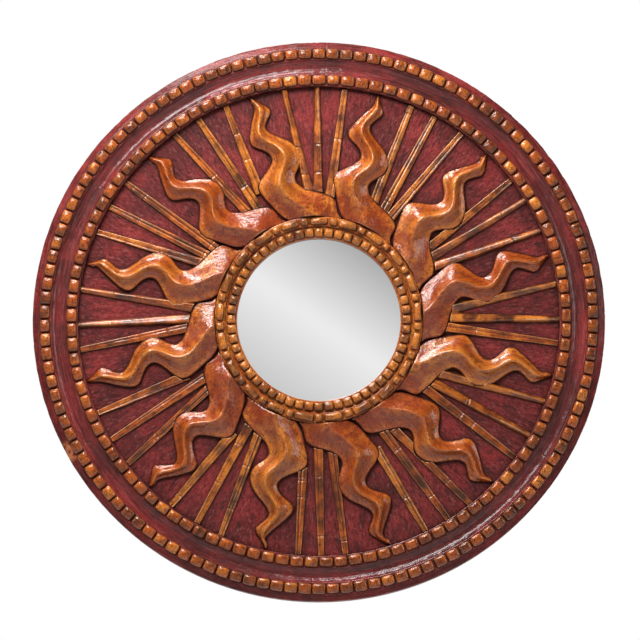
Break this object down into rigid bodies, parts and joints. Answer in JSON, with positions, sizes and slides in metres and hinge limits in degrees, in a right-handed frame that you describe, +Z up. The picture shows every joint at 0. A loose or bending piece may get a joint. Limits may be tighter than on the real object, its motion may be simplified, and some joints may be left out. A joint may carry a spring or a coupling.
{
  "type": "sunburst wall mirror",
  "caption": "Round carved wall mirror: wavy sun flames and straight rays run from a beaded collar round the glass to a coved, beaded rim; planked back with turn buttons and hanging rings.",
  "frame": {"origin": "on the wall plane that the battens rest on, behind the middle of the glass", "axes": "+Z up as hung, the glass faces -Y, +Y into the wall, +X to the right seen from the front"},
  "size_m": [0.762, 0.054, 0.75],
  "materials": {
    "panel_paint": "streaky burgundy paint under a gloss varnish on the face, bare boards behind",
    "rim_paint": "burgundy paint under a gloss varnish",
    "collar_paint": "burgundy paint worn through to copper gilding",
    "copper_gilt": "copper-gold paint over red bole, dark antiquing in the hollows, varnished",
    "bare_wood": "sawn and planed, unfinished",
    "plywood": "unfinished",
    "felt": "wool felt",
    "silvered_glass": "silvered",
    "brass_plate": "stamped brass plate",
    "zinc_steel": "zinc-plated steel"
  },
  "bodies": {
    "mirror": {"backing_board": "plywood", "batten_left": "bare_wood", "batten_right": "bare_wood", "batten_screws": "zinc_steel", "collar": "collar_paint", "collar_bars": "copper_gilt", "collar_beads": "copper_gilt", "collar_studs": "copper_gilt", "felt_pad": "felt", "flame_01": "copper_gilt", "flame_02": "copper_gilt", "flame_03": "copper_gilt", "flame_04": "copper_gilt", "flame_05": "copper_gilt", "flame_06": "copper_gilt", "flame_07": "copper_gilt", "flame_08": "copper_gilt", "flame_09": "copper_gilt", "flame_10": "copper_gilt", "flame_11": "copper_gilt", "flame_12": "copper_gilt", "hanger_screws": "zinc_steel", "hanger_strap_left": "zinc_steel", "hanger_strap_right": "zinc_steel", "inner_beads": "copper_gilt", "mirror_glass": "silvered_glass", "outer_beads": "copper_gilt", "plank_1": "panel_paint", "plank_2": "panel_paint", "plank_3": "panel_paint", "plank_4": "panel_paint", "rays_01": "copper_gilt", "rays_02": "copper_gilt", "rays_03": "copper_gilt", "rays_04": "copper_gilt", "rays_05": "copper_gilt", "rays_06": "copper_gilt", "rays_07": "copper_gilt", "rays_08": "copper_gilt", "rays_09": "copper_gilt", "rays_10": "copper_gilt", "rays_11": "copper_gilt", "rays_12": "copper_gilt", "rim_felloe_1": "rim_paint", "rim_felloe_2": "rim_paint", "rim_felloe_3": "rim_paint", "rim_felloe_4": "rim_paint", "rim_felloe_5": "rim_paint", "rim_felloe_6": "rim_paint", "rim_screws": "zinc_steel", "turn_button_screws": "zinc_steel"},
    "button_1": {"turn_button_1": "brass_plate"},
    "button_2": {"turn_button_2": "brass_plate"},
    "button_3": {"turn_button_3": "brass_plate"},
    "button_4": {"turn_button_4": "brass_plate"},
    "ring_left": {"hanger_ring_left": "zinc_steel"},
    "ring_right": {"hanger_ring_right": "zinc_steel"}
  },
  "joints": [
    {"name": "button_1_turn", "type": "hinge", "parent": "mirror", "child": "button_1", "pos_m": [0.08909, -0.01475, 0.08909], "axis": [0, 1, 0], "continuous": true},
    {"name": "button_2_turn", "type": "hinge", "parent": "mirror", "child": "button_2", "pos_m": [0.08909, -0.01475, -0.08909], "axis": [0, 1, 0], "continuous": true},
    {"name": "button_3_turn", "type": "hinge", "parent": "mirror", "child": "button_3", "pos_m": [-0.08909, -0.01475, -0.08909], "axis": [0, 1, 0], "continuous": true},
    {"name": "button_4_turn", "type": "hinge", "parent": "mirror", "child": "button_4", "pos_m": [-0.08909, -0.01475, 0.08909], "axis": [0, 1, 0], "continuous": true},
    {"name": "ring_left_swing", "type": "hinge", "parent": "mirror", "child": "ring_left", "pos_m": [-0.26518, -0.012, 0.15], "axis": [-1, 0, 0], "range_deg": [0, 180]},
    {"name": "ring_right_swing", "type": "hinge", "parent": "mirror", "child": "ring_right", "pos_m": [0.26518, -0.012, 0.15], "axis": [-1, 0, 0], "range_deg": [0, 180]}
  ]
}
